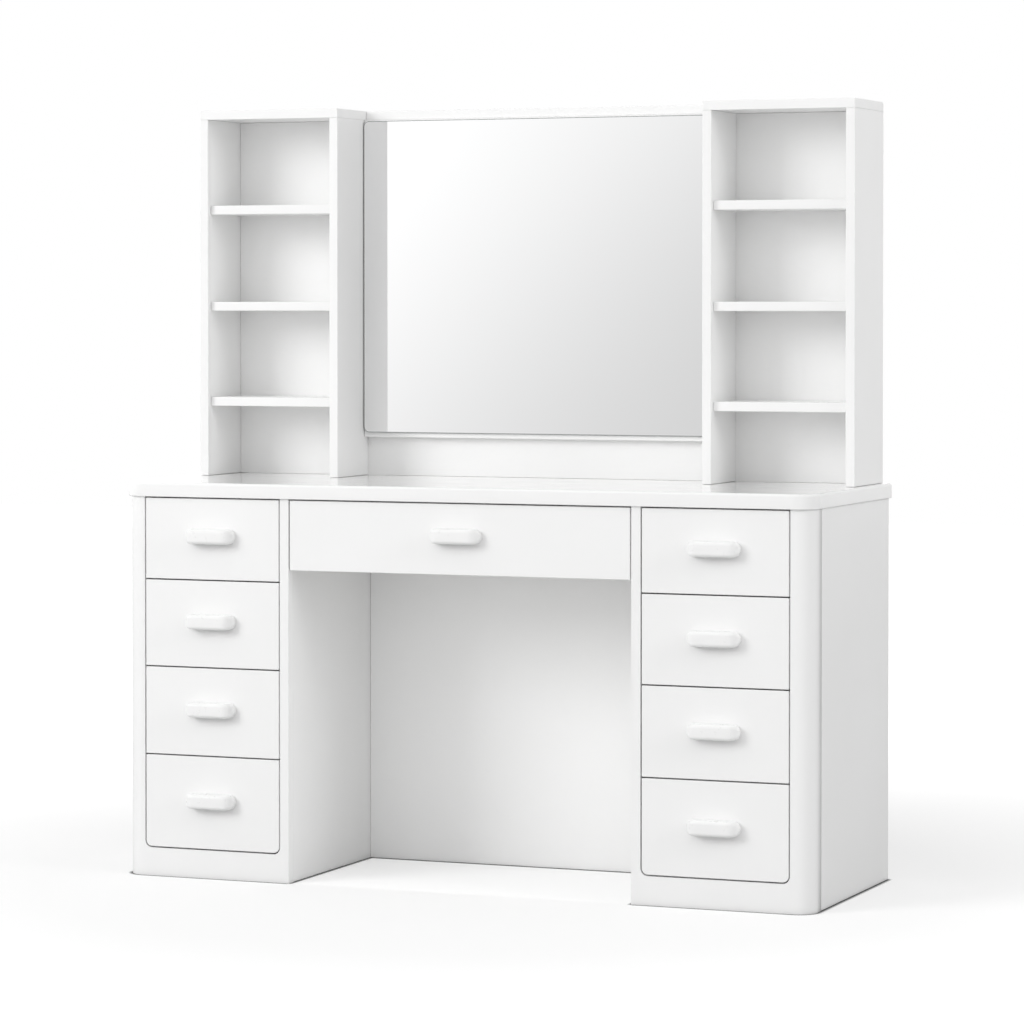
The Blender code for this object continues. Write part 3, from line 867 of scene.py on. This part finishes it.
# ---------------------------------------------------------------- studio
FLOOR_SIZE = 24.0
FLOOR_GLOW = 0.40           # lifts the floor to plain white where it is seen directly
FAR_GLOW = 0.66             # further off, where less light falls on it
GLOW_REACH = (0.9, 2.4)     # from the middle of the station, where one gives way to the other
CONTACT_REACH = 0.010       # how far the painted contact shadow reaches round a piece that stands on the floor
CONTACT_POWER = 4.0         # how sharply that fades out
CONTACT_SAMPLES = 16
FLOOR_PALE = (0.62, 0.62, 0.62)
FLOOR_DEEP = (0.60, 0.60, 0.60)
WAYS = {"left": (-1, 0, 0), "right": (1, 0, 0), "front": (0, -1, 0), "rear": (0, 1, 0), "top": (0, 0, 1)}
FALLEN = {"left": 0.30, "right": 0.0, "front": 0.94, "rear": 0.65, "top": 0.42}        # lights the surfaces
REFLECTED = {"left": 1.32, "right": 0.3, "front": 0.29, "rear": 0.81, "top": 0.19}     # seen in gloss
KEY_PLACE = (-5.5, -6.5, 4.0)
KEY_SIZE = 3.5
KEY_POWER = 280.0
SIDE_PLACE = (6.0, -1.0, 3.0)
SIDE_SIZE = 2.5
SIDE_POWER = 112.0
CARD_CENTRE = (-1.88, -3.0, 1.96)
CARD_TILT = math.radians(37.2)
CARD_WIDTH = 5.0
CARD_HEIGHT = 3.4
CARD_FADE = 1.4             # how far its glow takes to fade in from each edge
CARD_GLOW = 0.308
TOWER_FILL = 0.12           # soft light let into each opening, as a share of plain white
KNEEHOLE_FILL = 0.25
BAY_FILL = 0.046
FILL_DEPTH = 0.002          # behind the front of the shelves or of the drawer above

CAMERA_PLACE = (2.8423, -6.9617, 1.1017)
CAMERA_DIP = math.radians(1.162)                # below level
CAMERA_TURN = math.radians(22.076)
LENS = 137.84
SENSOR_WIDTH = 36.0
LENS_SHIFT = -0.125
VIEW_REACH = 100.0


def make_floor():
    mesh_data = bmesh.new()
    bmesh.ops.create_grid(mesh_data, x_segments=1, y_segments=1, size=FLOOR_SIZE / 2)
    mesh = bpy.data.meshes.new("studio_floor")
    mesh_data.to_mesh(mesh)
    mesh_data.free()
    floor = bpy.data.objects.new("studio_floor", mesh)
    floor.location.z = CAD_LOW.z
    bpy.context.scene.collection.objects.link(floor)
    finish = Finish("floor_white")
    contact = finish.add("ShaderNodeAmbientOcclusion", samples=CONTACT_SAMPLES)
    contact.inputs["Distance"].default_value = CONTACT_REACH
    painted_contact_shadow = finish.math("POWER", contact.outputs["AO"], CONTACT_POWER)
    paint = finish.blend(finish.noise(0.8), FLOOR_DEEP, FLOOR_PALE)
    # the floor's colour is darkened next to pieces that stand on it: a painted contact shadow
    finish.colour(finish.blend(painted_contact_shadow, (0.0, 0.0, 0.0), paint))
    finish.set(Roughness=0.9, Specular_IOR_Level=0.0, Emission_Color=(1, 1, 1, 1))
    seen = finish.add("ShaderNodeLightPath").outputs["Is Camera Ray"]
    distance = finish.add("ShaderNodeVectorMath", operation="LENGTH")
    finish.feed(finish.place, distance.inputs[0])
    glow = finish.spread(distance.outputs["Value"], FLOOR_GLOW, FAR_GLOW, *GLOW_REACH)
    # the glow is dimmed the same way, continuing the painted contact shadow
    lift = finish.math("MULTIPLY", glow, painted_contact_shadow)
    finish.feed(finish.math("MULTIPLY", seen, lift), finish.shader.inputs["Emission Strength"])
    mesh.materials.append(finish.material)


def make_world():
    """Large soft panels: one set for the light that falls on things, one for what gloss reflects."""
    world = bpy.data.worlds.new("studio")
    bpy.context.scene.world = world
    world.use_nodes = True
    tree = world.node_tree
    tree.nodes.clear()
    place = tree.nodes.new("ShaderNodeTexCoord")
    rays = tree.nodes.new("ShaderNodeLightPath")
    out = tree.nodes.new("ShaderNodeOutputWorld")

    def reckon(operation, first, second):
        node = tree.nodes.new("ShaderNodeMath")
        node.operation = operation
        for socket, value in zip(node.inputs, (first, second)):
            if isinstance(value, float):
                socket.default_value = value
            else:
                tree.links.new(value, socket)
        return node.outputs["Value"]

    def background(strength):
        shader = tree.nodes.new("ShaderNodeBackground")
        shader.inputs["Color"].default_value = (1, 1, 1, 1)
        if isinstance(strength, float):
            shader.inputs["Strength"].default_value = strength
        else:
            tree.links.new(strength, shader.inputs["Strength"])
        return shader.outputs[0]

    def panels(levels):
        """Light that is strongest towards each panel and falls off to its sides."""
        total = None
        for way, level in levels.items():
            towards = tree.nodes.new("ShaderNodeVectorMath")
            towards.operation = "DOT_PRODUCT"
            towards.inputs[1].default_value = WAYS[way]
            tree.links.new(place.outputs["Generated"], towards.inputs[0])
            share = reckon("MULTIPLY", reckon("MAXIMUM", towards.outputs["Value"], 0.0), level)
            total = reckon("ADD", total, share) if total else share
        return background(total)

    def choose(ray, first, second):
        mix = tree.nodes.new("ShaderNodeMixShader")
        tree.links.new(rays.outputs[ray], mix.inputs[0])
        tree.links.new(first, mix.inputs[1])
        tree.links.new(second, mix.inputs[2])
        return mix.outputs[0]

    lit = choose("Is Glossy Ray", panels(FALLEN), panels(REFLECTED))
    tree.links.new(choose("Is Camera Ray", lit, background(1.0)), out.inputs["Surface"])


def aim(item, place, target):
    item.location = place
    item.rotation_mode = "QUATERNION"
    item.rotation_quaternion = (Vector(target) - Vector(place)).to_track_quat("-Z", "Y")


def make_softbox(name, place, size, power):
    """A square softbox aimed at the middle of the station."""
    light = bpy.data.lights.new(name, "AREA")
    light.shape = "SQUARE"
    light.size = size
    light.energy = power
    item = bpy.data.objects.new(name, light)
    bpy.context.scene.collection.objects.link(item)
    aim(item, place, (CAD_LOW + CAD_HIGH) / 2)
    item.visible_camera = False
    item.visible_glossy = False


def fill_opening(name, low, high, level):
    """A weak soft light that fills an opening of the station and shines straight back into it."""
    light = bpy.data.lights.new(name, "AREA")
    light.shape = "RECTANGLE"
    light.size = high.x - low.x
    light.size_y = high.z - low.z
    light.energy = level * math.pi * light.size * light.size_y
    item = bpy.data.objects.new(name, light)
    bpy.context.scene.collection.objects.link(item)
    middle = (low + high) / 2
    aim(item, (middle.x, low.y, middle.z), (middle.x, high.y, middle.z))
    item.visible_camera = False
    item.visible_glossy = False


def make_fill_lights():
    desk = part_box("desktop")[1].z
    for side in SIDES:
        low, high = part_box(side + "_tower_top")
        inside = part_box(side + "_tower_shelf_1")
        fill_opening(
            side + "_tower_fill", Vector((inside[0].x, inside[0].y + FILL_DEPTH, desk)),
            Vector((inside[1].x, high.y, low.z)), TOWER_FILL,
        )
    low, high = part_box("kneehole_back_panel")
    drawer_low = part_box("centre_drawer_front")[0]
    fill_opening(
        "kneehole_fill", Vector((low.x, drawer_low.y + FILL_DEPTH, 0.0)),
        Vector((high.x, high.y, drawer_low.z)), KNEEHOLE_FILL,
    )
    low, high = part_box("mirror_board")
    tower_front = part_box("left_tower_top")[0].y
    fill_opening("mirror_bay_fill", Vector((low.x, tower_front, desk)), high, BAY_FILL)


def make_mirror_card():
    """A tilted softbox for the mirror to reflect, whose glow fades in from all four edges."""
    mesh_data = bmesh.new()
    bmesh.ops.create_grid(mesh_data, x_segments=1, y_segments=1, size=0.5)
    bmesh.ops.scale(mesh_data, vec=(CARD_WIDTH, CARD_HEIGHT, 1.0), verts=mesh_data.verts)
    mesh = bpy.data.meshes.new("mirror_card")
    mesh_data.to_mesh(mesh)
    mesh_data.free()
    card = bpy.data.objects.new("mirror_card", mesh)
    bpy.context.scene.collection.objects.link(card)
    card.matrix_world = (
        Matrix.Translation(CARD_CENTRE) @ Matrix.Rotation(-CARD_TILT, 4, "Y")
        @ Matrix.Rotation(math.radians(90), 4, "X")
    )
    material = bpy.data.materials.new("card_glow")
    material.use_nodes = True
    tree = material.node_tree
    tree.nodes.clear()
    place = tree.nodes.new("ShaderNodeTexCoord")
    split = tree.nodes.new("ShaderNodeSeparateXYZ")
    tree.links.new(place.outputs["Object"], split.inputs[0])
    fades = []
    for axis, half in (("X", CARD_WIDTH / 2), ("Y", CARD_HEIGHT / 2)):
        size = tree.nodes.new("ShaderNodeMath")
        size.operation = "ABSOLUTE"
        tree.links.new(split.outputs[axis], size.inputs[0])
        fade = tree.nodes.new("ShaderNodeMapRange")
        fade.interpolation_type = "SMOOTHSTEP"
        fade.inputs["From Min"].default_value = half
        fade.inputs["From Max"].default_value = half - CARD_FADE
        tree.links.new(size.outputs["Value"], fade.inputs["Value"])
        fades.append(fade.outputs["Result"])
    both = tree.nodes.new("ShaderNodeMath")
    both.operation = "MULTIPLY"
    tree.links.new(fades[0], both.inputs[0])
    tree.links.new(fades[1], both.inputs[1])
    scaled = tree.nodes.new("ShaderNodeMath")
    scaled.operation = "MULTIPLY"
    scaled.inputs[1].default_value = CARD_GLOW
    tree.links.new(both.outputs["Value"], scaled.inputs[0])
    glow = tree.nodes.new("ShaderNodeEmission")
    tree.links.new(scaled.outputs["Value"], glow.inputs["Strength"])
    clear = tree.nodes.new("ShaderNodeBsdfTransparent")
    added = tree.nodes.new("ShaderNodeAddShader")
    out = tree.nodes.new("ShaderNodeOutputMaterial")
    tree.links.new(glow.outputs[0], added.inputs[0])
    tree.links.new(clear.outputs[0], added.inputs[1])
    tree.links.new(added.outputs[0], out.inputs["Surface"])
    mesh.materials.append(material)
    card.visible_camera = False
    card.visible_diffuse = False
    card.visible_shadow = False


def make_camera():
    """A long lens from the front right, a little above the desk."""
    data = bpy.data.cameras.new("camera")
    data.lens = LENS
    data.sensor_width = SENSOR_WIDTH
    data.shift_y = LENS_SHIFT
    data.clip_end = VIEW_REACH
    camera = bpy.data.objects.new("camera", data)
    camera.location = CAMERA_PLACE
    camera.rotation_euler = (math.radians(90) - CAMERA_DIP, 0, CAMERA_TURN)
    bpy.context.scene.collection.objects.link(camera)
    bpy.context.scene.camera = camera


def main():
    bpy.context.scene.view_settings.view_transform = "Standard"
    make_camera()
    make_case()
    make_hutch()
    make_drawers()
    nail_row("hutch_back_panel")
    for side in SIDES:
        nail_row(side + "_back_panel")
    make_world()
    make_floor()
    make_softbox("key_softbox", KEY_PLACE, KEY_SIZE, KEY_POWER)
    make_softbox("side_softbox", SIDE_PLACE, SIDE_SIZE, SIDE_POWER)
    make_fill_lights()
    make_mirror_card()


main()
